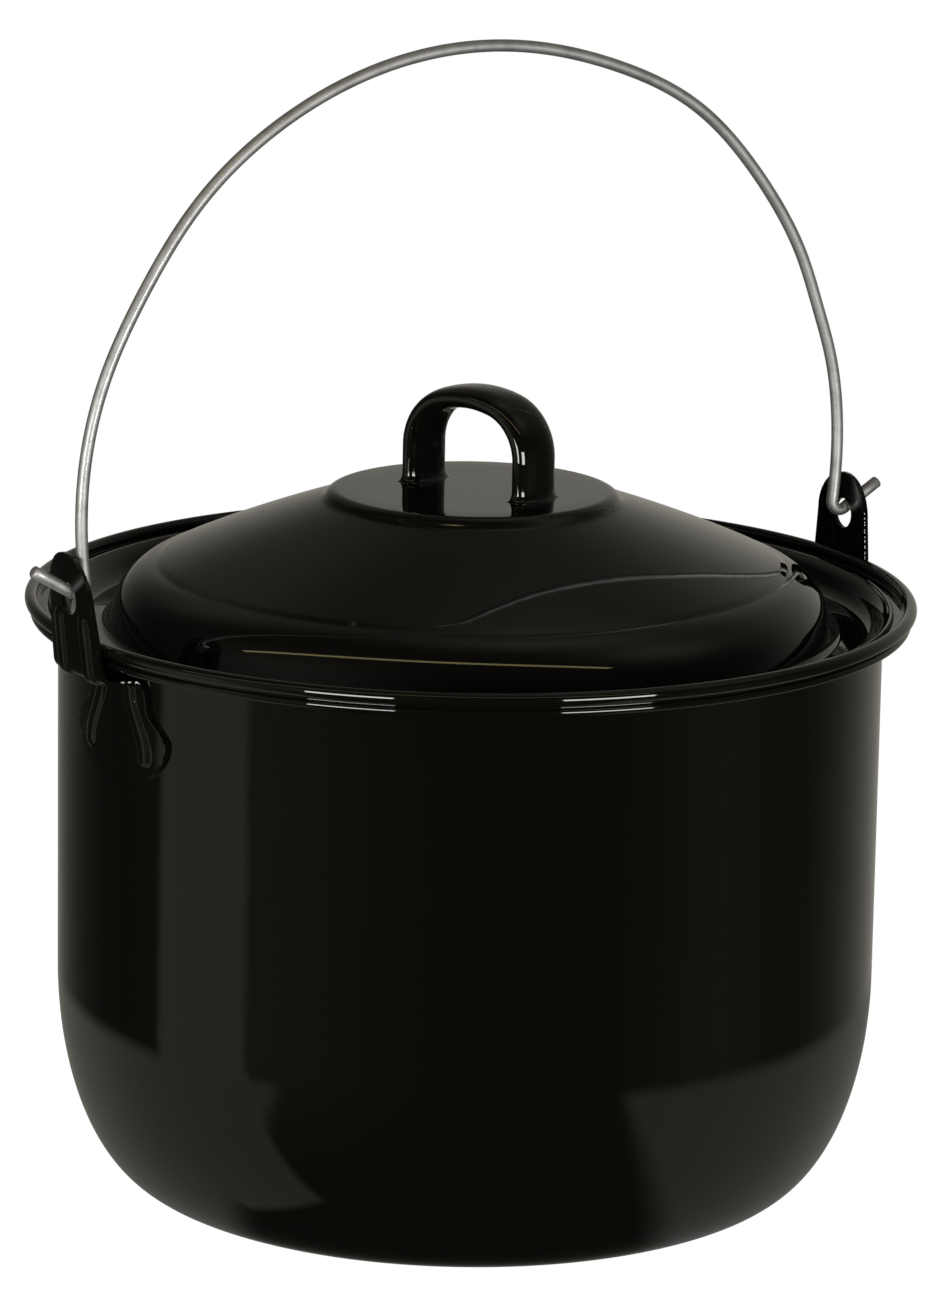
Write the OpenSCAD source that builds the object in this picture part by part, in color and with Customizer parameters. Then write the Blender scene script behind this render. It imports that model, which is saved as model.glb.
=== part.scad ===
// Black enamelled steel pot with a wire bail and a domed lid that sits down inside a flared rim.
// Millimetres, +Z up. The origin is the middle of the base, on the surface that the pot stands on.
// The two ears lie on the X axis, and the bail turns about a line along X through their holes.

/* [Pot] */
// Outside radius of the straight wall
wall_r = 134.2; // [126:0.2:136]
// Height of the rim bead's centre above the base
rim_h = 194; // [150:1:260]
// Thickness of the pot's sheet with its enamel
pot_t = 1.2; // [0.8:0.1:1.6]
// How far the base corner reaches in from the wall
corner_in = 32.6; // [15:0.2:60]
// How far the base corner reaches up the wall
corner_up = 71; // [30:1:100]

/* [Rim] */
// Reach of the rim from the wall's outside to the bead's outside
rim_reach = 10.8; // [10:0.1:14]
// Radius of the bead's round section
bead_r = 2.2; // [1.8:0.1:2.6]
// Radius of the hem's round edge under the bead
hem_r = 1.4; // [1:0.1:1.6]
// How far the hem's edge hangs below the bead's centre
hem_drop = 4.2; // [3.4:0.1:5]
// How far the hem's edge stands in from the bead
hem_in = 1.7; // [0.8:0.1:2.4]
// Radius at which the wall turns out to the ledge, at mid sheet
flare_r = 5; // [4:0.2:6]
// Depth of the flat ledge below the bead's centre
ledge_drop = 1.8; // [1.2:0.1:2]

/* [Lid] */
// Thickness of the lid's sheet with its enamel
lid_t = 1; // [0.8:0.1:1.4]
// Gap between the lid and the rim that it rests in
seat_gap = 0.3; // [0.2:0.05:0.6]
// Distance from the bead's outside in to the lid's edge
lid_edge_in = 8.6; // [7.6:0.1:9.4]
// Radius of the lid edge's rounding
lid_lip_r = 0.75; // [0.6:0.05:0.9]
// Depth of the gutter's floor below the bead's centre
gutter_drop = 9; // [8:0.2:12]
// Radius between the gutter's floor and its outer side
gutter_r = 6; // [3:0.5:7]
// Radius between the gutter's floor and the lower ring
ring_foot_r = 3; // [1.5:0.5:4]
// Distance from the wall's outside in to the lower ring's side
ring_in = 17.2; // [16:0.2:22]
// Radius of the lower ring's rounded section
ring_round = 18.7; // [14:0.1:22]
// Radius of the flat disc on top
plateau_r = 41; // [34:1:46]
// Radius of the shoulder around the flat disc
shoulder_r = 24; // [16:1:28]
// Width of the step between the dome and the lower ring
step_run = 3.9; // [3:0.1:6]
// Height of the dome's lower edge above the lower ring
step_drop = 3.1; // [2.4:0.1:4]

/* [Lid handle] */
// Distance between the two legs, centre to centre
handle_span = 45.7; // [40:0.1:60]
// Height of the handle above the flat disc
handle_h = 34; // [30:0.5:45]
// Thickness of the handle's section
handle_t = 6.5; // [5:0.1:8]
// Width of the handle's section
handle_w = 17.5; // [12:0.5:22]
// Radius at which a leg turns into the top, at mid section
handle_bend = 17; // [12:0.5:18]
// Turn of the handle about the lid's axis, from the X axis
handle_turn = -71; // [-90:1:90]

/* [Ears] */
// Half the width of an ear's upright plate
ear_w = 13.9; // [12:0.1:16]
// Thickness of the ear's strip with its enamel
ear_t = 1.4; // [1:0.1:1.6]
// Gap between the bead and the upright plate
ear_gap = 0.4; // [0.2:0.1:0.8]
// Radius of the hole that carries the bail
hole_r = 5; // [4.8:0.1:6]
// Height of the hole's centre above the bead's centre
hole_h = 14.3; // [12:0.1:18]
// Gap between the hem and the strip that passes under it
under_gap = 1; // [0.5:0.1:2]
// Half the width of the neck below the rim
neck_w = 16.5; // [14:0.1:20]
// Half the width of the foot that is welded to the wall
foot_w = 25.6; // [20:0.2:30]
// Depth of the foot's lower end below the bead's centre
foot_drop = 42.2; // [36:0.2:50]
// Width of a pressed rib
rib_w = 3.4; // [2:0.1:4.5]
// Height of a pressed rib over the strip's face
rib_h = 1; // [0.4:0.1:1.2]

/* [Bail] */
// Radius of the wire
wire_r = 2; // [1.6:0.1:2.1]
// Angle that the bow turns in past its half circle at each end
bow_under = 7.5; // [6.5:0.1:8.5]
// Radius of the hook's bend at mid wire
hook_r = 3.2; // [3:0.1:3.6]
// Rise of the hook's straight end over the horizontal
tip_rise = 31; // [20:1:35]
// Length of the hook's straight end
tip_len = 15.5; // [10:0.5:20]

/* [Hidden] */
enamel = [0.09, 0.09, 0.09];
wire_grey = [0.68, 0.69, 0.70];
// Steps of the round bodies, of the small arcs in the profiles and of round sections
round_fn = 144;
arc_step = 9;
wire_fn = 32;
corner_steps = 24;
dome_steps = 6;

// Rim: bead, ledge and the arc of the flare
rim_r = wall_r + rim_reach;
bead_x = rim_r - bead_r;
ledge_z = rim_h - ledge_drop;
flare_x = wall_r - pot_t / 2 + flare_r;
flare_z = ledge_z - pot_t / 2 - flare_r;
hem_x = rim_r - hem_in - hem_r;
hem_z = rim_h - hem_drop;
hem_web = 1.6;

// Lid: the flange follows the flare, one seat gap above it
lid_edge_r = rim_r - lid_edge_in;
flange_r = flare_r + pot_t / 2 + seat_gap + lid_t;
flange_edge = acos((lid_edge_r - flare_x) / flange_r);
gutter_z = rim_h - gutter_drop;
gutter_turn = 180 - asin((gutter_z + gutter_r - flare_z) / (flange_r + gutter_r));
gutter_x = flare_x + (flange_r + gutter_r) * cos(gutter_turn);
ring_rise = 2;
ring_r = wall_r - ring_in;
ring_c = [ring_r - ring_round, gutter_z + ring_rise];
// Slopes of the lid's surface, as the angle of its normal from the horizontal
dome_top_slope = 73;
dome_end_slope = 63;
ring_top_slope = 75;
ring_end_slope = 4;
// Radii of the step between the dome and the ring: its outer edge, then its hollow
step_round = 2;
step_fillet = 3;
// The dome's arc runs from the shoulder to one step over the ring, and sets the disc's height
ring_start = ring_c + ring_round * unit(ring_top_slope);
dome_end = ring_start + [-step_run, step_drop];
dome_run = dome_end[0] - plateau_r - shoulder_r * cos(dome_top_slope);
dome_r = dome_run / (cos(dome_end_slope) - cos(dome_top_slope));
dome_c = dome_end - dome_r * unit(dome_end_slope);
shoulder_z = dome_c[1] + (dome_r - shoulder_r) * sin(dome_top_slope);
plateau_z = shoulder_z + shoulder_r;

// Ear: the strip's path runs up the wall, out under the hem and up outside the bead
strip_x = wall_r + ear_t / 2;
plate_x = rim_r + ear_gap + ear_t / 2;
under_z = hem_z - hem_r - under_gap - ear_t / 2;
strip_bend = 2.3;
foot_round = 15.7;
foot_z = rim_h - foot_drop;
lobe_z = foot_z + foot_round;
neck_rise = 11;
neck_z = lobe_z + neck_rise;
sector_margin = 2;
ear_sector = 2 * (asin(max(foot_w, neck_w, ear_w) / wall_r) + sector_margin);
hole_z = rim_h + hole_h;

// Ribs: straight over the plate and the bend, then splayed over the foot
rib_y = 8.8;
rib_splay_y = 15.7;
rib_top_rise = 7;
rib_bend_drop = 13;
rib_end_drop = 32;
rib_top = rim_h + rib_top_rise;
rib_bend_z = rim_h - rib_bend_drop;
rib_splay_z = rim_h - rib_end_drop;

// Bail: at each joint of two bends a bead of wire closes a hair-wide gap
bead_overlap = 0.1;
bead_proud = 0.04;
// The wire crosses the plate's middle at pivot_z, this far below the hole's upper edge
wire_play = 1.1;
pivot_z = hole_z + hole_r - wire_r - wire_play;
// The hook's straight end starts this far inside the plate's middle
tip_inset = 0.3;
tip_start_x = plate_x - tip_inset;
bend_x = tip_start_x - hook_r * sin(tip_rise);
bow_r = bend_x / cos(bow_under) - hook_r;
bend_z = pivot_z + hook_r * cos(tip_rise) - tip_inset * tan(tip_rise);
bow_z = bend_z + (bow_r + hook_r) * sin(bow_under);

// Handle: two corner arcs and a flatter top arc, tangent to each other
handle_turn_in = 75;
handle_step = 7.5;
handle_sides = 28;
handle_weld = 5;
handle_swell = 0.3;
handle_flare_steps = [0, 0.5, 1.2, 2.2, 3.5, 5];
oval_power = 0.8;
handle_top_r = (handle_span / 2 - handle_bend) / cos(handle_turn_in) + handle_bend;
handle_leg = handle_h - handle_t / 2 - handle_top_r
  + (handle_top_r - handle_bend) * sin(handle_turn_in);

// Points of an arc from angle a0 to angle a1 about centre c
function arc(c, r, a0, a1) =
  let (n = max(2, ceil(abs(a1 - a0) / arc_step)))
  [for (i = [0:n]) let (a = a0 + (a1 - a0) * i / n) c + r * [cos(a), sin(a)]];

function last(list) = list[len(list) - 1];

// A list of points without its first, which is the last point of the list before it
function unshared(list) = [for (i = [1:len(list) - 1]) list[i]];

function reversed(list) = [for (i = [len(list) - 1:-1:0]) list[i]];

// Unit normal of a path at point i, to the right of its direction of travel
function path_normal(path, i) =
  let (
    a = path[max(i - 1, 0)],
    b = path[min(i + 1, len(path) - 1)],
    d = (b - a) / norm(b - a)
  )
  [d[1], -d[0]];

// The path moved sideways by d, to the right of its direction of travel
function beside(path, d) =
  [for (i = [0:len(path) - 1]) path[i] + d * path_normal(path, i)];

// A strip around a path, from d0 to d1 on its right-hand side
module strip(path, d0, d1) {
  polygon(concat(beside(path, d1), reversed(beside(path, d0))));
}

// One face of the pot's sheet from the middle of the base to the inside of the bead, at
// distance d outside the sheet's mid line
function pot_side(d) =
  let (
    inset = pot_t / 2 - d,
    corner = [
      for (i = [0:corner_steps])
        let (t = 90 * (1 - i / corner_steps))
        [
          wall_r - corner_in + (corner_in - inset) * cos(t),
          corner_up - (corner_up - inset) * sin(t)
        ]
    ]
  )
  concat(
    [[0, inset]],
    corner,
    arc([flare_x, flare_z], flare_r - d, 180, 90),
    [[bead_x, ledge_z - pot_t / 2 - d]]
  );

module pot_profile() {
  polygon(concat(pot_side(pot_t / 2), reversed(pot_side(-pot_t / 2))));
  translate([bead_x, rim_h])
    circle(r = bead_r, $fn = wire_fn);
  translate([hem_x, hem_z])
    circle(r = hem_r, $fn = wire_fn);
  translate([hem_x - hem_web / 2, hem_z])
    square([hem_web, hem_drop]);
}

module pot_shell() {
  color(enamel)
    rotate_extrude($fn = round_fn)
      pot_profile();
}

// Unit vector at angle a
function unit(a) = [cos(a), sin(a)];

// The step: an arc out of the point p0 and an arc into the point p1, with their shared tangent
function lid_step(p0, p1) =
  let (
    c0 = p0 - step_round * unit(dome_end_slope),
    c1 = p1 + step_fillet * unit(ring_top_slope),
    across = c1 - c0,
    reach = min(1, (step_round + step_fillet) / norm(across)),
    slope = atan2(across[1], across[0]) + acos(reach)
  )
  concat(
    arc(c0, step_round, dome_end_slope, slope),
    arc(c1, step_fillet, slope + 180, ring_top_slope + 180)
  );

// Upper surface of the lid from its axis to its edge
function lid_path() =
  let (
    shoulder = arc([plateau_r, shoulder_z], shoulder_r, 90, dome_top_slope),
    dome = [
      for (i = [1:dome_steps - 1])
        let (a = dome_top_slope + (dome_end_slope - dome_top_slope) * i / dome_steps)
        dome_c + dome_r * unit(a)
    ],
    step = lid_step(dome_end, ring_start),
    ring = arc(ring_c, ring_round, ring_top_slope, ring_end_slope),
    foot_c = [
      last(ring)[0] + ring_foot_r * cos(ring_end_slope),
      gutter_z + ring_foot_r
    ],
    foot = arc(foot_c, ring_foot_r, 180 + ring_end_slope, 270),
    gutter = arc([gutter_x, gutter_z + gutter_r], gutter_r, 270, gutter_turn + 180),
    flange = arc([flare_x, flare_z], flange_r, gutter_turn, flange_edge)
  )
  concat(
    [[0, plateau_z]],
    shoulder,
    dome,
    step,
    unshared(ring),
    unshared(foot),
    gutter,
    unshared(flange)
  );

module lid_profile() {
  intersection() {
    strip(lid_path(), 0, lid_t);
    square([rim_r, plateau_z]);
  }
  translate(last(lid_path()) + (lid_t / 2) * path_normal(lid_path(), len(lid_path()) - 1))
    circle(r = lid_lip_r, $fn = wire_fn);
}

module lid_shell() {
  color(enamel)
    rotate_extrude($fn = round_fn)
      lid_profile();
}

// Mid line of the handle in its own plane: each entry is a point and the direction of travel
function handle_stations() =
  let (
    leg = [for (z = handle_flare_steps) [[handle_span / 2, z], 90]],
    corner = [
      for (a = [0:handle_step:handle_turn_in - handle_step])
        [
          [handle_span / 2 - handle_bend, handle_leg] + handle_bend * [cos(a), sin(a)],
          a + 90
        ]
    ],
    top = [
      for (a = [handle_turn_in:handle_step / 2:90])
        [
          [0, handle_h - handle_t / 2 - handle_top_r] + handle_top_r * [cos(a), sin(a)],
          a + 90
        ]
    ],
    half = concat(leg, corner, top),
    n = len(half)
  )
  concat(
    half,
    [for (i = [n - 2:-1:0]) [[-half[i][0][0], half[i][0][1]], 360 - half[i][1]]]
  );

// Growth of the section near the lid, where the weld rounds it out
function handle_flare(z) = 1 + handle_swell * pow(max(0, 1 - z / handle_weld), 2);

// One ring of the sweep: an oval, flatter than an ellipse, square to the mid line
function handle_ring(station) =
  let (
    c = station[0],
    side = [sin(station[1]), -cos(station[1])],
    grow = handle_flare(c[1])
  )
  [
    for (i = [0:handle_sides - 1])
      let (
        a = 360 * (i + 0.5) / handle_sides,
        x = grow * handle_t / 2 * sign(cos(a)) * pow(abs(cos(a)), oval_power),
        y = grow * handle_w / 2 * sign(sin(a)) * pow(abs(sin(a)), oval_power)
      )
      [c[0] + x * side[0], y, c[1] + x * side[1]]
  ];

module lid_handle() {
  rings = [for (station = handle_stations()) handle_ring(station)];
  n = handle_sides;
  walls = [
    for (r = [0:len(rings) - 2])
      for (i = [0:n - 1])
        [r * n + i, r * n + (i + 1) % n, (r + 1) * n + (i + 1) % n, (r + 1) * n + i]
  ];
  first = [for (i = [n - 1:-1:0]) i];
  end = [for (i = [0:n - 1]) (len(rings) - 1) * n + i];
  color(enamel)
    translate([0, 0, plateau_z])
      rotate([0, 0, handle_turn])
        polyhedron([for (ring = rings) each ring], concat([first], walls, [end]));
}

// Mid line of the ear's strip, from the foot's lower end to the top of the plate
function ear_path() =
  concat(
    [[strip_x, foot_z]],
    arc([strip_x + strip_bend, under_z - strip_bend], strip_bend, 180, 90),
    arc([plate_x - strip_bend, under_z + strip_bend], strip_bend, -90, 0),
    [[plate_x, hole_z + ear_w]]
  );

// Smooth step from 0 to 1
function ease(s) = 0.5 - 0.5 * cos(180 * max(0, min(1, s)));

// Half the ear's width at height z, from the top of the foot's lobe to the plate
function ear_half_width(z) =
  z < neck_z
    ? foot_w + (neck_w - foot_w) * ease((z - lobe_z) / (neck_z - lobe_z))
    : neck_w + (ear_w - neck_w) * ease((z - neck_z) / (under_z - neck_z));

// Outline of the ear seen along X: a round lobe, a neck and a plate with a round top
function ear_side() =
  let (
    lobe_steps = 10,
    lobe = [
      for (i = [0:lobe_steps])
        let (t = 90 * (1 - i / lobe_steps))
        [foot_w * cos(t), lobe_z - foot_round * sin(t)]
    ],
    neck_step = 2,
    neck = [for (z = [lobe_z + neck_step:neck_step:under_z]) [ear_half_width(z), z]],
    top = arc([0, hole_z], ear_w, 0, 90)
  )
  concat(lobe, neck, top);

module ear_outline() {
  right = ear_side();
  left = [for (p = reversed(right)) [-p[0], p[1]]];
  polygon(concat(right, left));
}

// Outline of one pressed rib: down the plate, then splayed down the foot
module rib_outline(side) {
  path = [
    [side * rib_y, rib_top],
    [side * rib_y, rib_bend_z],
    [side * rib_splay_y, rib_splay_z]
  ];
  half = rib_w / 2;
  splay = atan2(rib_splay_z - rib_bend_z, side * (rib_splay_y - rib_y));
  polygon(concat(
    beside(path, -half),
    arc(last(path), half, splay + 90, splay - 90),
    reversed(beside(path, half)),
    arc(path[0], half, 180, 0)
  ));
}

// The sheet of the ear, from d0 to d1 on the outer side of its mid line, over the ear's sector
module ear_sheet(d0, d1) {
  rotate([0, 0, -ear_sector / 2])
    rotate_extrude(angle = ear_sector, $fn = round_fn)
      strip(ear_path(), d0, d1);
}

// Cuts the sheet along an outline seen along X
module cut_along_x() {
  intersection() {
    children(0);
    translate([wall_r / 2, 0, 0])
      rotate([90, 0, 90])
        linear_extrude(rim_r)
          children(1);
  }
}

module ear() {
  difference() {
    union() {
      cut_along_x() {
        ear_sheet(-ear_t / 2, ear_t / 2);
        ear_outline();
      }
      for (side = [-1, 1])
        cut_along_x() {
          ear_sheet(0, ear_t / 2 + rib_h);
          rib_outline(side);
        }
    }
    translate([wall_r, 0, hole_z])
      rotate([0, 90, 0])
        cylinder(r = hole_r, h = rim_r - wall_r / 2, $fn = 64);
  }
}

module left_ear() {
  color(enamel)
    mirror([1, 0, 0])
      ear();
}

module right_ear() {
  color(enamel)
    ear();
}

// A piece of round wire bent about a centre in the XZ plane, from angle a0 through a turn.
// It stops a hair short at both ends, where a bead of the wire's own size takes over.
module bent_wire(c, r, a0, turn) {
  short = bead_overlap / r * 180 / PI;
  translate([c[0], 0, c[1]])
    rotate([90, 0, 0])
      rotate([0, 0, a0 + short])
        rotate_extrude(angle = turn - 2 * short, $fn = round_fn)
          translate([r, 0])
            circle(r = wire_r, $fn = wire_fn);
}

module wire_bead(p) {
  translate([p[0], 0, p[1]])
    sphere(r = wire_r + bead_proud, $fn = wire_fn);
}

module hook() {
  bow_end = [0, bow_z] + bow_r * [cos(bow_under), -sin(bow_under)];
  tip_start = [tip_start_x, bend_z - hook_r * cos(tip_rise)];
  wire_bead(bow_end);
  bent_wire([bend_x, bend_z], hook_r, 180 - bow_under, 90 + bow_under + tip_rise);
  wire_bead(tip_start);
  translate([tip_start[0], 0, tip_start[1]])
    rotate([0, 90 - tip_rise, 0])
      translate([0, 0, bead_overlap])
        cylinder(r = wire_r, h = tip_len - bead_overlap, $fn = wire_fn);
}

module bail_wire() {
  color(wire_grey) {
    bent_wire([0, bow_z], bow_r, -bow_under, 180 + 2 * bow_under);
    hook();
    mirror([1, 0, 0])
      hook();
  }
}

pot_shell();
left_ear();
right_ear();
bail_wire();
lid_shell();
lid_handle();
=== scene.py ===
import math

import bmesh
import bpy
from mathutils import Matrix, Vector


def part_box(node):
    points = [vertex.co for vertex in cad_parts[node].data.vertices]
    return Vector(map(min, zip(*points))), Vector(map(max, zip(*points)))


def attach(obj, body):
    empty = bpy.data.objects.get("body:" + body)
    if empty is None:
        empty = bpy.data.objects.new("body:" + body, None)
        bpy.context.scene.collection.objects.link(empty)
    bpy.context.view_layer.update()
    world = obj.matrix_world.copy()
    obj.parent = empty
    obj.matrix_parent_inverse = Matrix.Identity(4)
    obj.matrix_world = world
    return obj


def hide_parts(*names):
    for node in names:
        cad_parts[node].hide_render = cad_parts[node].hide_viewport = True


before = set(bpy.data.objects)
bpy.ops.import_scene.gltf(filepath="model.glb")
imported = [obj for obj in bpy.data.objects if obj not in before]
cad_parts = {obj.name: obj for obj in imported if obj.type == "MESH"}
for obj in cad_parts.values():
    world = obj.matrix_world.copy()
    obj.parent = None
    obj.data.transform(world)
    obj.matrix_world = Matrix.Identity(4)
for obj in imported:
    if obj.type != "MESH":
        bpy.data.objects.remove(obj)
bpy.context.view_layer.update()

MM = 0.001

# Pot
WALL_R = 134.2
SHEET = 1.2
CORNER_IN = 32.6
CORNER_UP = 71
RIM_H = 194
RIM_R = WALL_R + 10.8
BEAD_R = 2.2
HEM_R = 1.4
HOLLOW_R = 0.38
HEM_DROP = 4.2
HEM_IN = 1.7
FLARE_R = 5
LEDGE_DROP = 1.8
BEAD = (RIM_R - BEAD_R, RIM_H)
HEM = (RIM_R - HEM_IN - HEM_R, RIM_H - HEM_DROP)
LEDGE_Z = RIM_H - LEDGE_DROP
FLARE = (WALL_R - SHEET / 2 + FLARE_R, LEDGE_Z - SHEET / 2 - FLARE_R)

# Lid
LID_SHEET = 1
LID_EDGE_R = RIM_R - 8.6
LIP_R = 0.75
GUTTER_R = 6
RING_FOOT_R = 3
RING_ROUND = 18.7
DISC_R = 44
DISC_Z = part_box("lid_handle")[0].z / MM
DISC_RUN = 5.98
DISC_DROP = 3.8
DISC_ROUND = 4.5
DISC_FILLET = 4
STEP_RUN = 2.8
STEP_ROUND = 2
STEP_FILLET = 3
DOME_TOP_SLOPE = 71.8
DOME_END_SLOPE = 66
RING_TOP_SLOPE = 75
RING_END_SLOPE = 20
GUTTER_Z = RIM_H - 9
RING = (WALL_R - 17.2 - RING_ROUND, GUTTER_Z + 2)

# Lid handle
HANDLE_SPAN = 46.5
HANDLE_H = 34
HANDLE_T = 7.3
HANDLE_W = 18.4
HANDLE_BEND = 17
HANDLE_BEND_TURN = 75
HANDLE_TURN = -71
HANDLE_PLACE = (1.4, -0.8)
WELD_R = 3.2
WELD_OUT = 1.7
WELD_STEPS = 8

# Ears
EAR_W = 13.9
EAR_T = 1.4
EAR_EDGE_R = 0.6
HOLE_R = 5
HOLE_Z = RIM_H + 14.3
PLATE_X = RIM_R + 0.4 + EAR_T / 2
STRIP_X = WALL_R + EAR_T / 2
STRIP_BEND = 2.3
UNDER_HEM = 3.2
UNDER_Z = HEM[1] - HEM_R - UNDER_HEM - EAR_T / 2
PLATE_LOW_W = 15.2
NECK_W = 16.5
FOOT_W = 25.6
FOOT_Z = RIM_H - 44
FOOT_ROUND = 15.7
NECK_RISE = 11
RIB_HALF = 3.3
RIB_SIDE = 2
RIB_H = 1.0
RIB_Y = 7.9
RIB_SPLAY_Y = 15.7
RIB_TOP_Z = RIM_H + 7
RIB_BEND_Z = RIM_H - 15
RIB_END_Z = RIM_H - 33
LEFT_EAR_LEAN = 12
LEFT_FOOT_ASIDE = 4.6

# Mesh of an ear: columns across its strip, distance between its rows, and rings round its hole
EAR_COLUMNS = 80
EAR_ROW_STEP = 0.5
EAR_RINGS = 18

# Bail
WIRE_R = 2
HOOK_R = 3.2
TIP_RISE = 31
TIP_LEN = 15.5
BOW_UNDER = 7.5
PIVOT_Z = HOLE_Z + HOLE_R - WIRE_R - 1.1
TIP_INSET = 0.3
# Where the hand-bent bow leaves its circle: angle from the X axis, spread, both in degrees, and
# how far it stands out
BOW_BENDS = (
    (20, 7, -1.1),
    (55, 12, 1.95),
    (122, 20, -0.8),
    (149, 13, -2.0),
)

# Photograph: its width and focal length in pixels, the point that the camera looks at, in
# metres, its distance from there, and its angles in degrees. The ears stand turned from the
# picture's plane.
PHOTO_W = 948
PHOTO_FOCAL = 6016.4
AIM_HEIGHT = 0.1749
AIM_ASIDE = 0.0013
CAMERA_DISTANCE = 1.964
CAMERA_PITCH = 13.28
CAMERA_ROLL = 0.99
EARS_TURN = 30.86

# Table top, in metres: its edge, and the half angle of the dark gap in front of the pot. Then how
# much the camera sees it lifted towards white, and how much mirrors do.
FLOOR_R = 0.34
FLOOR_EDGE = (0.26, 0.31)
FLOOR_GAP_AT = -2.5
FLOOR_GAP_HALF = 38
FLOOR_LIFT = 0.93
FLOOR_MIRRORED = 0.05

# Enamel's own colour under its gloss
ENAMEL_BLACK = (0.0027, 0.0026, 0.002, 1)

# Wire's zinc: its colours, and the roughness of its coat and of the sheen over it
ZINC = (0.54, 0.54, 0.54, 1)
DULL_ZINC = (0.34, 0.34, 0.335, 1)
WIRE_ROUGHNESS = 0.6
WIRE_SHEEN_ROUGHNESS = 0.14

# Room: colour and level of its plain light, and its paler parts, each with azimuth and elevation
# in degrees, level, and how closely its light keeps to its middle
ROOM_TINT = (1.0, 0.96, 0.84, 1)
ROOM_LEVEL = 0.02
ROOM_PARTS = (
    (180, -15, 0.2, 6),
    (180, 10, 0.125, 24),
    (-150, 40, 0.1, 24),
    (-60, 10, 0.16, 6),
    (75, -15, 0.07, 16),
    (90, 50, 0.22, 24),
    (150, 10, 0.26, 6),
    (150, 70, 0.2, 24),
)
# Pale upright panel on the left: azimuth, elevation and half sizes in degrees, and level
PANEL = (-79, -25, 15, 32)
PANEL_LEVEL = 0.24

# Soft boxes at the rim's height: azimuths in degrees, distance, width and height in metres, radiance
BOX_AZIMUTHS = (-29, 34)
BOX_ELEVATION = 1
BOX_DISTANCE = 1.9
BOX_SIZE = (0.75, 0.6)
BOX_RADIANCE = 15
BOX_COLOUR = (1.0, 0.985, 0.95)

# Strip lamp overhead: its two ends in the picture's directions, width in metres, radiance
STRIP_LAMP_ENDS = ((-2.9, -0.4, 1.8), (1.6, -1.3, 1.8))
STRIP_LAMP_WIDTH = 0.12
STRIP_LAMP_RADIANCE = 2.6
STRIP_LAMP_COLOUR = (1.0, 0.88, 0.42)


def unit(angle):
    """Unit vector in a profile's plane, by its angle in degrees."""
    return Vector((math.cos(math.radians(angle)), math.sin(math.radians(angle))))


def arc(centre, radius, start, end, step=6.0):
    """Points of an arc, from the angle start to the angle end, in degrees."""
    count = max(2, math.ceil(abs(end - start) / step))
    return [
        Vector(centre) + radius * unit(start + (end - start) * i / count)
        for i in range(count + 1)
    ]


def beside(path, distance):
    """The path moved sideways, to the right of its direction of travel."""
    moved = []
    for i, point in enumerate(path):
        along = path[min(i + 1, len(path) - 1)] - path[max(i - 1, 0)]
        along.normalize()
        moved.append(point + distance * Vector((along.y, -along.x)))
    return moved


def angle_to(start, end):
    """Angle of the line from start to end, in degrees."""
    return math.degrees(math.atan2(end[1] - start[1], end[0] - start[0]))


def groove(low, low_r, high, high_r, radius):
    """Arc of a hollow that touches two circles, one over the other, on their outer side."""
    low, high = Vector(low), Vector(high)
    apart = (high - low).length
    a, b = low_r + radius, high_r + radius
    lean = math.degrees(math.acos((a * a + apart * apart - b * b) / (2 * a * apart)))
    centre = low + a * unit(angle_to(low, high) - lean)
    return arc(centre, radius, angle_to(centre, low) + 360, angle_to(centre, high), 20)


def made(name, bm, node, body, material):
    """A finished mesh in place of a CAD node, riding on its body."""
    bmesh.ops.scale(bm, vec=(MM, MM, MM), verts=bm.verts)
    mesh = bpy.data.meshes.new(name)
    bm.to_mesh(mesh)
    bm.free()
    mesh.materials.append(material)
    for face in mesh.polygons:
        face.use_smooth = True
    piece = bpy.data.objects.new(name, mesh)
    bpy.context.scene.collection.objects.link(piece)
    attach(piece, body)
    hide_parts(node)
    return piece


def lathe(outline, steps):
    """Spins an outline, given as points of radius and height, about the Z axis."""
    bm = bmesh.new()
    verts = [bm.verts.new((p[0], 0, p[1])) for p in outline]
    edges = [bm.edges.new(pair) for pair in zip(verts, verts[1:])]
    bmesh.ops.spin(
        bm, geom=verts + edges, cent=(0, 0, 0), axis=(0, 0, 1),
        angle=math.tau, steps=steps, use_merge=True,
    )
    bmesh.ops.remove_doubles(bm, verts=bm.verts, dist=0.001)
    bmesh.ops.recalc_face_normals(bm, faces=bm.faces)
    return bm


def corner(inset):
    """The base corner's quarter ellipse, a distance inside the pot's outer face."""
    steps = 36
    points = []
    for i in range(steps + 1):
        turn = unit(90 * (1 - i / steps))
        points.append(Vector((
            WALL_R - CORNER_IN + (CORNER_IN - inset) * turn.x,
            CORNER_UP - (CORNER_UP - inset) * turn.y,
        )))
    return points


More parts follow.
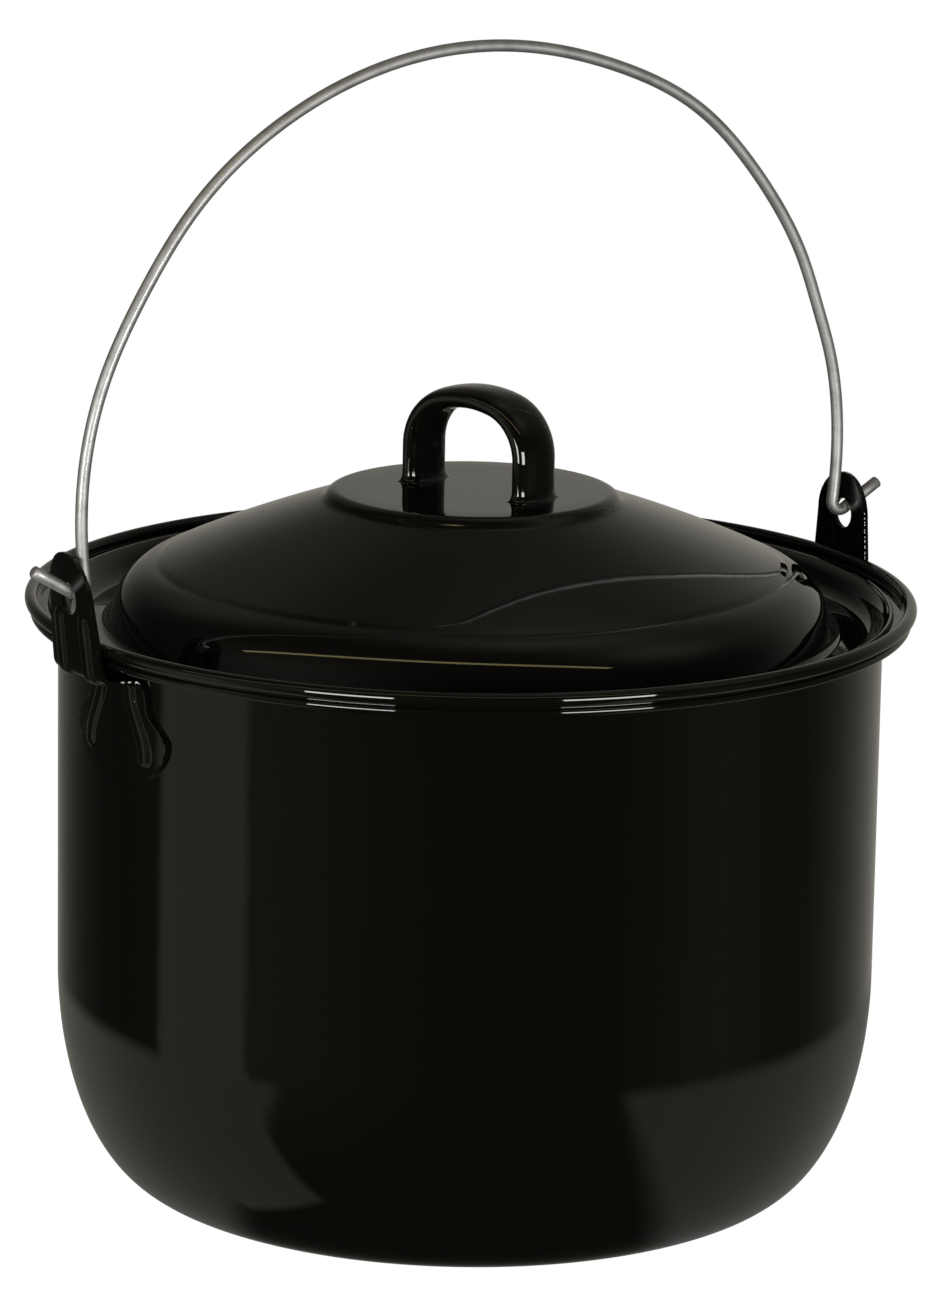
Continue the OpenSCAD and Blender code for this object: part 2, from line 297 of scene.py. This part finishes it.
def pot_outline():
    """Section of the pot from the middle of its base, up the outside and down the inside."""
    under = LEDGE_Z - SHEET
    hem_start = 180 - math.degrees(math.asin((under - HEM[1]) / HEM_R))
    hollow = groove(HEM, HEM_R, BEAD, BEAD_R, HOLLOW_R)
    hem_end = angle_to(HEM, hollow[0]) + 360
    bead_start = angle_to(BEAD, hollow[-1])
    bead_end = 180 + math.degrees(math.asin(LEDGE_DROP / BEAD_R)) - 12
    outside = (
        [Vector((0, 0))]
        + corner(0)
        + arc(FLARE, FLARE_R - SHEET / 2, 180, 90, 9)
        + arc(HEM, HEM_R, hem_start, hem_end, 12)
        + hollow[1:-1]
        + arc(BEAD, BEAD_R, bead_start, bead_end, 10)
    )
    ledge_end = Vector((BEAD[0] - BEAD_R - 0.1, LEDGE_Z))
    inside = (
        [ledge_end, Vector((ledge_end.x - 0.6, LEDGE_Z))]
        + arc(FLARE, FLARE_R + SHEET / 2, 90, 180, 9)
        + corner(SHEET)[::-1]
        + [Vector((0, SHEET))]
    )
    return outside + inside


def step_down(start, start_slope, rounding, end, end_slope, fillet):
    """An arc out of one slope and an arc into the next lower one, with their shared tangent."""
    high = start - rounding * unit(start_slope)
    low = end + fillet * unit(end_slope)
    reach = min(1.0, (rounding + fillet) / (low - high).length)
    slope = angle_to(high, low) + math.degrees(math.acos(reach))
    return (
        arc(high, rounding, start_slope, slope, 7)
        + arc(low, fillet, slope + 180, end_slope + 180, 7)
    )


def lid_outline():
    """Section of the lid from its axis along the top to the edge, and back underneath."""
    flange_r = FLARE_R + SHEET / 2 + 0.3 + LID_SHEET
    flange_edge = math.degrees(math.acos((LID_EDGE_R - FLARE[0]) / flange_r))
    between = flange_r + GUTTER_R
    gutter_turn = 180 - math.degrees(math.asin((GUTTER_Z + GUTTER_R - FLARE[1]) / between))
    gutter = (FLARE[0] + between * unit(gutter_turn).x, GUTTER_Z + GUTTER_R)
    disc_edge = Vector((DISC_R, DISC_Z))
    dome_start = disc_edge + Vector((DISC_RUN, -DISC_DROP))
    ring_start = Vector(RING) + RING_ROUND * unit(RING_TOP_SLOPE)
    dome_run = ring_start.x - STEP_RUN - dome_start.x
    dome_r = dome_run / (unit(DOME_END_SLOPE).x - unit(DOME_TOP_SLOPE).x)
    dome_centre = dome_start - dome_r * unit(DOME_TOP_SLOPE)
    dome = arc(dome_centre, dome_r, DOME_TOP_SLOPE, DOME_END_SLOPE, 0.3)
    ring = arc(RING, RING_ROUND, RING_TOP_SLOPE, RING_END_SLOPE, 4)
    foot_out = RING_FOOT_R * unit(RING_END_SLOPE)
    side_drop = ring[-1].y + foot_out.y - (GUTTER_Z + RING_FOOT_R)
    foot_x = ring[-1].x + side_drop * math.tan(math.radians(RING_END_SLOPE)) + foot_out.x
    foot = arc((foot_x, GUTTER_Z + RING_FOOT_R), RING_FOOT_R, 180 + RING_END_SLOPE, 270, 9)
    top = (
        [Vector((0, DISC_Z)), Vector((DISC_R * 0.8, DISC_Z))]
        + step_down(disc_edge, 90, DISC_ROUND, dome_start, DOME_TOP_SLOPE, DISC_FILLET)
        + dome[1:-1]
        + step_down(dome[-1], DOME_END_SLOPE, STEP_ROUND, ring_start, RING_TOP_SLOPE, STEP_FILLET)
        + ring[1:]
        + foot
        + arc(gutter, GUTTER_R, 270, gutter_turn + 180, 6)
        + arc(FLARE, flange_r, gutter_turn, flange_edge, 6)[1:]
    )
    under = beside(top, LID_SHEET)
    under[0].x = 0
    middle = (top[-1] + under[-1]) / 2
    edge = angle_to(middle, top[-1])
    lip = arc(middle, LIP_R, edge - 40, edge - 140, 15)
    return top[:-1] + lip + under[-2::-1]


def open_rim(bm):
    """Edges that carry one face only."""
    return [e for e in bm.edges if len(e.link_faces) < 2]


def pull(bm, edges, move):
    """Extrudes a loop of edges by a vector and gives the new loop."""
    made_geom = bmesh.ops.extrude_edge_only(bm, edges=edges)["geom"]
    verts = [g for g in made_geom if isinstance(g, bmesh.types.BMVert)]
    bmesh.ops.translate(bm, vec=move, verts=verts)
    return [g for g in made_geom if isinstance(g, bmesh.types.BMEdge) and is_loop_edge(g, verts)]


def is_loop_edge(edge, verts):
    """Whether both ends of an edge are among the vertices of a loop."""
    return edge.verts[0] in verts and edge.verts[1] in verts


def turned(bm, edges, centre, angle, steps):
    """Spins a loop of edges about an axis along Y, and gives the last loop."""
    verts = list({v for e in edges for v in e.verts})
    last = bmesh.ops.spin(
        bm, geom=verts + edges, cent=centre, axis=(0, 1, 0),
        angle=math.radians(angle), steps=steps,
    )["geom_last"]
    return [g for g in last if isinstance(g, bmesh.types.BMEdge)]


def oval(bm, half_t, half_w, segments, power):
    """A flat oval loop in the XY plane, a little squarer than an ellipse."""
    loop = bmesh.ops.create_circle(bm, segments=segments, radius=1)["verts"]
    for v in loop:
        v.co.x = half_t * math.copysign(abs(v.co.x) ** power, v.co.x)
        v.co.y = half_w * math.copysign(abs(v.co.y) ** power, v.co.y)
    return loop


def weld_loops(bm, loop, leg):
    """Pulls the foot's weld up from the lid: a hollow fillet all round the leg at x = leg."""
    edges = list({e for v in loop for e in v.link_edges})
    centre = Matrix.Translation((-leg, 0, 0))
    size = HANDLE_T / 2 + WELD_OUT, HANDLE_W / 2 + WELD_OUT
    for i in range(WELD_STEPS):
        low, high = unit(90 * i / WELD_STEPS), unit(90 * (i + 1) / WELD_STEPS)
        edges = pull(bm, edges, (0, 0, WELD_R * (low.x - high.x)))
        verts = list({v for e in edges for v in e.verts})
        left = WELD_OUT * (1 - high.y)
        new_size = HANDLE_T / 2 + left, HANDLE_W / 2 + left
        ratio = (new_size[0] / size[0], new_size[1] / size[1], 1)
        bmesh.ops.scale(bm, vec=ratio, verts=verts, space=centre)
        size = new_size
    return edges


def lid_handle(material):
    """Loop of flat oval bar: leg, corner, flatter top, corner, leg, with a weld round each foot."""
    top_r = (HANDLE_SPAN / 2 - HANDLE_BEND) / unit(HANDLE_BEND_TURN).x + HANDLE_BEND
    leg_up = HANDLE_H - HANDLE_T / 2 - top_r + (top_r - HANDLE_BEND) * unit(HANDLE_BEND_TURN).y
    bm = bmesh.new()
    half = HANDLE_SPAN / 2
    loop = oval(bm, HANDLE_T / 2 + WELD_OUT, HANDLE_W / 2 + WELD_OUT, 40, 0.8)
    bmesh.ops.translate(bm, vec=(half, 0, 0), verts=loop)
    edges = weld_loops(bm, loop, half)
    for _ in range(3):
        edges = pull(bm, edges, (0, 0, (leg_up - WELD_R) / 3))
    edges = turned(bm, edges, (half - HANDLE_BEND, 0, leg_up), -HANDLE_BEND_TURN, 18)
    middle = (0, 0, HANDLE_H - HANDLE_T / 2 - top_r)
    turned(bm, edges, middle, -(90 - HANDLE_BEND_TURN), 4)
    bmesh.ops.recalc_face_normals(bm, faces=bm.faces)
    half_geom = bm.verts[:] + bm.edges[:] + bm.faces[:]
    bmesh.ops.mirror(bm, geom=half_geom, axis="X", merge_dist=0.02)
    bmesh.ops.holes_fill(bm, edges=open_rim(bm), sides=0)
    bmesh.ops.recalc_face_normals(bm, faces=bm.faces)
    place = Matrix.Translation((*HANDLE_PLACE, DISC_Z))
    turn = place @ Matrix.Rotation(math.radians(HANDLE_TURN), 4, "Z")
    bmesh.ops.transform(bm, matrix=turn, verts=bm.verts)
    return made("lid_handle_loop", bm, "lid_handle", "lid", material)


def strip_point(height):
    """Mid line of an ear's strip at a distance along it: its place and the way it faces."""
    leg = UNDER_Z - STRIP_BEND - FOOT_Z
    bend = STRIP_BEND * math.pi / 2
    shelf = PLATE_X - STRIP_X - 2 * STRIP_BEND
    if height < leg:
        return Vector((STRIP_X, FOOT_Z + height)), 0
    height -= leg
    if height < bend:
        turn = height / STRIP_BEND
        centre = Vector((STRIP_X + STRIP_BEND, UNDER_Z - STRIP_BEND))
        angle = 180 - math.degrees(turn)
        return centre + STRIP_BEND * unit(angle), -math.degrees(turn)
    height -= bend
    if height < shelf:
        return Vector((STRIP_X + STRIP_BEND + height, UNDER_Z)), -90
    height -= shelf
    if height < bend:
        turn = height / STRIP_BEND
        centre = Vector((PLATE_X - STRIP_BEND, UNDER_Z + STRIP_BEND))
        return centre + STRIP_BEND * unit(math.degrees(turn) - 90), math.degrees(turn) - 90
    height -= bend
    return Vector((PLATE_X, UNDER_Z + STRIP_BEND + height)), 0


BENDS = math.pi * STRIP_BEND + PLATE_X - STRIP_X - 2 * STRIP_BEND
STRIP_TO_PLATE = UNDER_Z - STRIP_BEND - FOOT_Z + BENDS
PLATE_START_Z = UNDER_Z + STRIP_BEND
HOLE_AT = STRIP_TO_PLATE + HOLE_Z - PLATE_START_Z
PLATE_LOW = HOLE_AT - EAR_W


def ease(share):
    """Smooth step from 0 to 1."""
    return 0.5 - 0.5 * math.cos(math.pi * max(0.0, min(1.0, share)))


def ear_half_width(height):
    """Half the ear's width at a distance along its strip, over the foot's lower end."""
    neck = FOOT_ROUND + NECK_RISE
    if height < neck:
        return FOOT_W + (NECK_W - FOOT_W) * ease((height - FOOT_ROUND) / NECK_RISE)
    under = UNDER_Z - FOOT_Z
    return NECK_W + (PLATE_LOW_W - NECK_W) * ease((height - neck) / (under - neck))


def ridge(y, height):
    """Height of the pressed ribs over the strip's face, from 0 to 1."""
    stretch = BENDS - 2 * STRIP_BEND
    top = RIB_TOP_Z - FOOT_Z + stretch
    bend = RIB_BEND_Z - FOOT_Z
    end = RIB_END_Z - FOOT_Z
    at = max(end, min(top, height))
    centre = RIB_Y + (RIB_SPLAY_Y - RIB_Y) * ease((bend + 3 - at) / (bend - end + 3))
    away = math.hypot(abs(y) - centre, height - at)
    return ease((RIB_HALF - away) / RIB_SIDE)


def ear_rows():
    """Distances along the strip and half widths of the rows from the lobe's end to the plate."""
    rows = []
    lobe_steps = 24
    for i in range(lobe_steps + 1):
        turn = unit(90 * (1 - i / lobe_steps))
        rows.append((FOOT_ROUND * (1 - turn.y), FOOT_W * turn.x))
    count = math.ceil((PLATE_LOW - FOOT_ROUND) / EAR_ROW_STEP)
    for i in range(1, count + 1):
        height = FOOT_ROUND + (PLATE_LOW - FOOT_ROUND) * i / count
        rows.append((height, ear_half_width(min(height, UNDER_Z - FOOT_Z))))
    return rows


def ear(name, node, side, lean, aside, material):
    """Pressed strip: lobed foot, neck, and an upright plate with a round hole and two ribs.

    The plate leans by an angle in degrees about its hole, with its lower end towards the pot's
    front. The bends under the hem carry the foot further aside.
    """
    rows = ear_rows()
    last = len(rows) - 1
    bm = bmesh.new()
    grid = bmesh.ops.create_grid(bm, x_segments=EAR_COLUMNS, y_segments=last, size=1)["verts"]
    for v in grid:
        height, half_width = rows[round((v.co.y + 1) / 2 * last)]
        v.co = Vector((half_width * math.tan(math.pi / 4 * v.co.x), height, 0))
    plate(bm)
    bmesh.ops.remove_doubles(bm, verts=bm.verts, dist=0.01)
    for v in bm.verts:
        v.co = on_strip(v.co.x, v.co.y, side, lean, aside)
    bmesh.ops.recalc_face_normals(bm, faces=bm.faces)
    outward = sum((f.normal.x * side * f.calc_area() for f in bm.faces))
    if outward < 0:
        bmesh.ops.reverse_faces(bm, faces=bm.faces)
    half = EAR_T / 2
    for v in bm.verts:
        v.co += v.normal * half
    bmesh.ops.solidify(bm, geom=bm.faces[:], thickness=EAR_T)
    rim = [e for e in bm.edges if e.is_manifold and e.calc_face_angle(0) > math.radians(62)]
    bmesh.ops.bevel(
        bm, geom=rim, offset=EAR_EDGE_R, offset_type="OFFSET", segments=4, profile=0.5,
        affect="EDGES", clamp_overlap=True, material=-1,
    )
    return made(name, bm, node, "pot", material)


def on_strip(y, height, side, lean, aside):
    """A point of the flat pattern laid on the bent strip, with the ribs pressed out."""
    place, facing = strip_point(height)
    out = unit(facing)
    place = place + RIB_H * ridge(y, height) * out
    y -= (HOLE_Z - max(place.y, UNDER_Z)) * math.tan(math.radians(lean))
    y -= aside * max(0.0, min(1.0, (STRIP_TO_PLATE - height) / BENDS))
    reach = math.sqrt(max(0.0, place.x ** 2 - y ** 2))
    return Vector((side * reach, y, place.y))


def plate(bm):
    """The plate around the hole, round above it and square below it, where it widens a little."""
    hole, outline = (
        bmesh.ops.create_circle(bm, segments=4 * EAR_COLUMNS, radius=radius)["verts"]
        for radius in (HOLE_R, EAR_W)
    )
    for v in outline:
        if v.co.y < 0:
            v.co *= EAR_W / max(abs(v.co.x), abs(v.co.y))
            v.co.x *= 1 + (1 - PLATE_LOW_W / EAR_W) * v.co.y / EAR_W
    bmesh.ops.translate(bm, vec=(0, HOLE_AT, 0), verts=hole + outline)
    loops = list({e for v in hole + outline for e in v.link_edges})
    spokes = bmesh.ops.bridge_loops(bm, edges=loops)["edges"]
    bmesh.ops.subdivide_edges(bm, edges=spokes, cuts=EAR_RINGS - 1, use_grid_fill=True)


def wire_loop(bm, place, facing):
    """A round loop of wire section at a place in the XZ plane, square to its direction."""
    loop = bmesh.ops.create_circle(bm, segments=24, radius=WIRE_R)["verts"]
    lay = Matrix.Translation((place[0], 0, place[1])) @ Matrix.Rotation(math.radians(facing), 4, "Y")
    bmesh.ops.transform(bm, matrix=lay, verts=loop)
    return list({e for v in loop for e in v.link_edges})


def out_of_circle(angle):
    """How far the bow stands outside its circle at an angle from the X axis, in degrees."""
    return sum(rise * math.exp(-((angle - at) / spread) ** 2) for at, spread, rise in BOW_BENDS)


def bail_wire(material):
    """One length of wire: a bow, a hook through each ear and a straight end with a blunt cut."""
    tip_x = PLATE_X - TIP_INSET
    bend_x = tip_x - HOOK_R * unit(TIP_RISE).y
    bow_r = bend_x / unit(BOW_UNDER).x - HOOK_R
    bend_z = PIVOT_Z + HOOK_R * unit(TIP_RISE).x - TIP_INSET * math.tan(math.radians(TIP_RISE))
    bow_z = bend_z + (bow_r + HOOK_R) * unit(BOW_UNDER).y
    bm = bmesh.new()
    edges = wire_loop(bm, (0, bow_z + bow_r), 90)
    edges = turned(bm, edges, (0, 0, bow_z), 90 + BOW_UNDER, 90)
    edges = turned(bm, edges, (bend_x, 0, bend_z), -(90 + BOW_UNDER + TIP_RISE), 16)
    along = unit(TIP_RISE)
    cut = 0.35
    for share in (0.3, 0.4, 0.3):
        move = (TIP_LEN - cut) * share * along
        edges = pull(bm, edges, (move.x, 0, move.y))
    edges = pull(bm, edges, (cut * along.x, 0, cut * along.y))
    verts = list({v for e in edges for v in e.verts})
    middle = sum((v.co for v in verts), Vector()) / len(verts)
    bmesh.ops.scale(bm, vec=(0.84, 0.84, 0.84), verts=verts, space=Matrix.Translation(-middle))
    bmesh.ops.edgeloop_fill(bm, edges=edges)
    bmesh.ops.mirror(bm, geom=bm.verts[:] + bm.edges[:] + bm.faces[:], axis="X", merge_dist=0.01)
    bmesh.ops.recalc_face_normals(bm, faces=bm.faces)
    bow_centre = Vector((0, 0, bow_z))
    for v in bm.verts:
        away = Vector((v.co.x, 0, v.co.z)) - bow_centre
        angle = (math.degrees(math.atan2(away.z, away.x)) + 90) % 360 - 90
        v.co += out_of_circle(angle) * away.normalized()
    return made("bail_bow", bm, "bail_wire", "bail", material)


class Value:
    """One output of a node. Arithmetic on it adds Math nodes."""

    def __init__(self, finish, socket):
        self.finish = finish
        self.socket = socket

    def maths(self, operation, a, b=0.0):
        return self.finish.node("ShaderNodeMath", {"operation": operation}, {0: a, 1: b})

    def __add__(self, other):
        return self.maths("ADD", self, other)

    __radd__ = __add__

    def __mul__(self, other):
        return self.maths("MULTIPLY", self, other)

    __rmul__ = __mul__

    def __sub__(self, other):
        return self.maths("SUBTRACT", self, other)

    def __rsub__(self, other):
        return self.maths("SUBTRACT", other, self)

    def __pow__(self, other):
        return self.maths("POWER", self, other)

    def above(self, edge):
        """0 below the edge, 1 above it."""
        return self.maths("GREATER_THAN", self, edge)

    def clamped(self):
        """Held between 0 and 1."""
        return self.maths("MINIMUM", self.maths("MAXIMUM", self, 0.0), 1.0)


class Finish:
    """A node tree being filled in. node() adds a node, sets it and links its sockets."""

    def __init__(self, tree):
        self.tree = tree

    def node(self, kind, settings=None, inputs=None, output=0):
        node = self.tree.nodes.new(kind)
        for name, setting in (settings or {}).items():
            setattr(node, name, setting)
        for name, value in (inputs or {}).items():
            self.put(node.inputs[name], value)
        return Value(self, node.outputs[output])

    def put(self, socket, value):
        """Links a value to a socket, or sets a constant on it."""
        if isinstance(value, Value):
            self.tree.links.new(value.socket, socket)
        else:
            socket.default_value = value

    def place(self):
        """Object coordinates, in metres."""
        return self.node("ShaderNodeTexCoord", output="Object")

    def noise(self, size_mm, detail=2.0, roughness=0.5, stretch=(1, 1, 1)):
        """Soft noise, about 0 to 1, whose lumps are about size_mm across."""
        where = self.node(
            "ShaderNodeMapping", inputs={"Vector": self.place(), "Scale": stretch}
        )
        return self.node(
            "ShaderNodeTexNoise",
            inputs={
                "Vector": where, "Scale": 1000 / size_mm, "Detail": detail, "Roughness": roughness,
            },
        )

    def dot(self, vector, axis):
        """Size of a vector along an axis."""
        return self.node(
            "ShaderNodeVectorMath", {"operation": "DOT_PRODUCT"}, {0: vector, 1: axis}, output="Value",
        )

    def ramp(self, value, low, high):
        """Runs from 0 to 1 while the value goes from low to high."""
        return self.node(
            "ShaderNodeMapRange",
            {"interpolation_type": "SMOOTHSTEP"},
            {"Value": value, "From Min": low, "From Max": high},
        )

    def mix(self, share, a, b):
        """Colour a, going to colour b as the share goes to 1."""
        return self.node(
            "ShaderNodeMix", {"data_type": "RGBA"}, {0: share, 6: a, 7: b}, output=2
        )

    def bump(self, height_mm, below=None):
        """A bump whose height is in millimetres, over an earlier bump if one is given."""
        inputs = {"Height": height_mm, "Strength": 1.0, "Distance": MM}
        if below is not None:
            inputs["Normal"] = below
        return self.node("ShaderNodeBump", inputs=inputs)


def surface(name):
    """A new material with its node tree and its Principled shader."""
    material = bpy.data.materials.new(name)
    material.use_nodes = True
    return material, Finish(material.node_tree), material.node_tree.nodes["Principled BSDF"]


def enamel(name, ior, wave_mm):
    """Black vitreous enamel: deep gloss over sheet metal that isn't quite true."""
    material, finish, shader = surface(name)
    shader.inputs["Base Color"].default_value = ENAMEL_BLACK
    smear = finish.ramp(finish.noise(22, 4, 0.6, (1, 1, 0.4)), 0.5, 0.8)
    finish.put(shader.inputs["Roughness"], 0.035 + smear * 0.03)
    shader.inputs["IOR"].default_value = ior
    waves = finish.noise(55, 1) * wave_mm
    peel = finish.noise(2.6, 2) * 0.0035
    normal = finish.bump(waves + peel)
    finish.put(shader.inputs["Normal"], normal)
    return material


def galvanised_wire():
    """Zinc-coated steel wire: pale grey, faintly mottled, with a thin sheen over a dull coat."""
    material, finish, shader = surface("galvanised_wire")
    patch = finish.ramp(finish.noise(7, 4, 0.6), 0.4, 0.7)
    grain = finish.noise(1.2, 2)
    finish.put(shader.inputs["Base Color"], finish.mix(patch * 0.6 + grain * 0.2, ZINC, DULL_ZINC))
    shader.inputs["Metallic"].default_value = 1.0
    shader.inputs["Roughness"].default_value = WIRE_ROUGHNESS
    shader.inputs["Coat Weight"].default_value = 1.0
    shader.inputs["Coat Roughness"].default_value = WIRE_SHEEN_ROUGHNESS
    return material


def turned_to_pot(vector):
    """Turns a vector from the photograph's own directions to the pot's."""
    return Matrix.Rotation(math.radians(-EARS_TURN), 3, "Z") @ Vector(vector)


def photo_camera():
    """The camera of the photograph. It looks down at the pot, and leans a little to one side."""
    pitch = math.radians(CAMERA_PITCH)
    roll = math.radians(CAMERA_ROLL)
    look = Vector((0, math.cos(pitch), -math.sin(pitch)))
    level = Vector((1, 0, 0))
    upright = level.cross(look)
    right = math.cos(roll) * level + math.sin(roll) * upright
    up = math.cos(roll) * upright - math.sin(roll) * level
    place = Vector((AIM_ASIDE, 0, AIM_HEIGHT)) - CAMERA_DISTANCE * look
    axes = Matrix([turned_to_pot(v) for v in (right, up, -look)]).transposed().to_4x4()
    data = bpy.data.cameras.new("photo_camera")
    data.sensor_fit = "HORIZONTAL"
    data.sensor_width = 36
    data.lens = data.sensor_width * PHOTO_FOCAL / PHOTO_W
    camera = bpy.data.objects.new("photo_camera", data)
    bpy.context.scene.collection.objects.link(camera)
    camera.matrix_world = Matrix.Translation(turned_to_pot(place)) @ axes
    bpy.context.scene.camera = camera


def direction(azimuth, elevation):
    """A direction seen from the pot. Azimuth 0 is towards the camera, 90 to its right."""
    a = math.radians(azimuth)
    e = math.radians(elevation)
    return turned_to_pot((math.sin(a) * math.cos(e), -math.cos(a) * math.cos(e), math.sin(e)))


def lamp(name, size, radiance, colour, place, axes):
    """A flat rectangular lamp that shines along the last of its three axes, turned about."""
    data = bpy.data.lights.new(name, "AREA")
    data.shape = "RECTANGLE"
    data.size, data.size_y = size
    data.energy = radiance * math.pi * size[0] * size[1]
    data.color = colour
    box = bpy.data.objects.new(name, data)
    box.matrix_world = Matrix.Translation(place) @ Matrix(axes).transposed().to_4x4()
    box.visible_camera = False
    bpy.context.scene.collection.objects.link(box)


def soft_box(name, azimuth):
    """A soft box that faces the pot's rim."""
    back = direction(azimuth, BOX_ELEVATION)
    across = direction(azimuth + 90, 0)
    place = Vector((0, 0, RIM_H * MM)) + BOX_DISTANCE * back
    lamp(name, BOX_SIZE, BOX_RADIANCE, BOX_COLOUR, place, (across, back.cross(across), back))


def strip_lamp():
    """A long thin lamp over the pot, from the left to the right."""
    left, right = (turned_to_pot(end) for end in STRIP_LAMP_ENDS)
    along = (right - left).normalized()
    up = Vector((0, 0, 1))
    size = (right - left).length, STRIP_LAMP_WIDTH
    axes = (along, up.cross(along), up)
    lamp("strip_lamp", size, STRIP_LAMP_RADIANCE, STRIP_LAMP_COLOUR, (left + right) / 2, axes)


def studio_room():
    """The room round the pot: dim in front, paler behind and on the right, white to the camera."""
    world = bpy.data.worlds.new("studio_room")
    bpy.context.scene.world = world
    world.use_nodes = True
    finish = Finish(world.node_tree)
    view = finish.node("ShaderNodeTexCoord", output="Generated")
    light = ROOM_LEVEL
    for azimuth, elevation, level, focus in ROOM_PARTS:
        facing = finish.dot(view, direction(azimuth, elevation))
        light = facing.clamped() ** focus * level + light
    light = light + panel(finish, view, *PANEL) * PANEL_LEVEL
    seen = finish.node("ShaderNodeLightPath", output="Is Camera Ray")
    strength = finish.node("ShaderNodeMix", {"data_type": "FLOAT"}, {0: seen, 2: light, 3: 1.0})
    background = world.node_tree.nodes["Background"]
    finish.put(background.inputs["Strength"], strength)
    finish.put(background.inputs["Color"], finish.mix(seen, ROOM_TINT, (1, 1, 1, 1)))


def panel(finish, view, azimuth, elevation, half_width, half_height):
    """1 inside a pale upright panel of the room, given by its middle and half sizes in degrees."""
    middle = direction(azimuth, elevation)
    across = direction(azimuth + 90, 0)
    upward = direction(azimuth, elevation + 90)
    ahead, side, rise = (finish.dot(view, axis) for axis in (middle, across, upward))
    inside = ahead.above(0.0)
    for offset, half in ((side, half_width), (rise, half_height)):
        turn = finish.node("ShaderNodeMath", {"operation": "ARCTAN2"}, {0: offset, 1: ahead})
        off = finish.node("ShaderNodeMath", {"operation": "ABSOLUTE"}, {0: turn})
        edge = math.radians(half)
        soft = math.radians(2)
        inside = inside * (1 - finish.ramp(off, edge - soft, edge + soft))
    return inside


def floor():
    """A pale round table top under the pot, with a gap in front, in the white of the room."""
    bm = bmesh.new()
    bmesh.ops.create_circle(bm, cap_ends=True, segments=96, radius=FLOOR_R)
    bmesh.ops.translate(bm, vec=(0, 0, -0.0002), verts=bm.verts)
    mesh = bpy.data.meshes.new("floor")
    bm.to_mesh(mesh)
    bm.free()
    material, finish, shader = surface("pale_floor")
    shader.inputs["Base Color"].default_value = (0.86, 0.86, 0.855, 1)
    shader.inputs["Roughness"].default_value = 0.9
    shader.inputs["Specular IOR Level"].default_value = 0.0
    camera, glossy, glass = (
        finish.node("ShaderNodeLightPath", output=ray)
        for ray in ("Is Camera Ray", "Is Glossy Ray", "Is Transmission Ray")
    )
    finish.put(shader.inputs["Emission Color"], camera * FLOOR_LIFT + (glossy + glass) * FLOOR_MIRRORED)
    shader.inputs["Emission Strength"].default_value = 1.0
    away = finish.node(
        "ShaderNodeVectorMath", {"operation": "LENGTH"}, {0: finish.place()}, output="Value",
    )
    ahead = finish.dot(finish.place(), direction(FLOOR_GAP_AT, 0))
    aside = finish.node(
        "ShaderNodeMath", {"operation": "ABSOLUTE"},
        {0: finish.dot(finish.place(), direction(FLOOR_GAP_AT + 90, 0))},
    )
    beside_gap = aside - ahead * math.tan(math.radians(FLOOR_GAP_HALF))
    shown = finish.ramp(beside_gap, -0.015, 0.015) * (1 - finish.ramp(away, *FLOOR_EDGE))
    finish.put(shader.inputs["Alpha"], shown)
    mesh.materials.append(material)
    floor_object = bpy.data.objects.new("floor", mesh)
    bpy.context.scene.collection.objects.link(floor_object)


pot_enamel = enamel("pot_enamel", 1.5, 0.25)
lid_enamel = enamel("lid_enamel", 1.5, 0.12)
wire = galvanised_wire()

made("pot_body", lathe(pot_outline(), 192), "pot_shell", "pot", pot_enamel)
made("lid_cover", lathe(lid_outline(), 192), "lid_shell", "lid", lid_enamel)
lid_handle(lid_enamel)
ear("left_ear_strip", "left_ear", -1, LEFT_EAR_LEAN, LEFT_FOOT_ASIDE, pot_enamel)
ear("right_ear_strip", "right_ear", 1, 0, 0, pot_enamel)
bail_wire(wire)

photo_camera()
floor()
studio_room()
soft_box("soft_box_left", BOX_AZIMUTHS[0])
soft_box("soft_box_right", BOX_AZIMUTHS[1])
strip_lamp()

bpy.context.scene.view_settings.view_transform = "Standard"
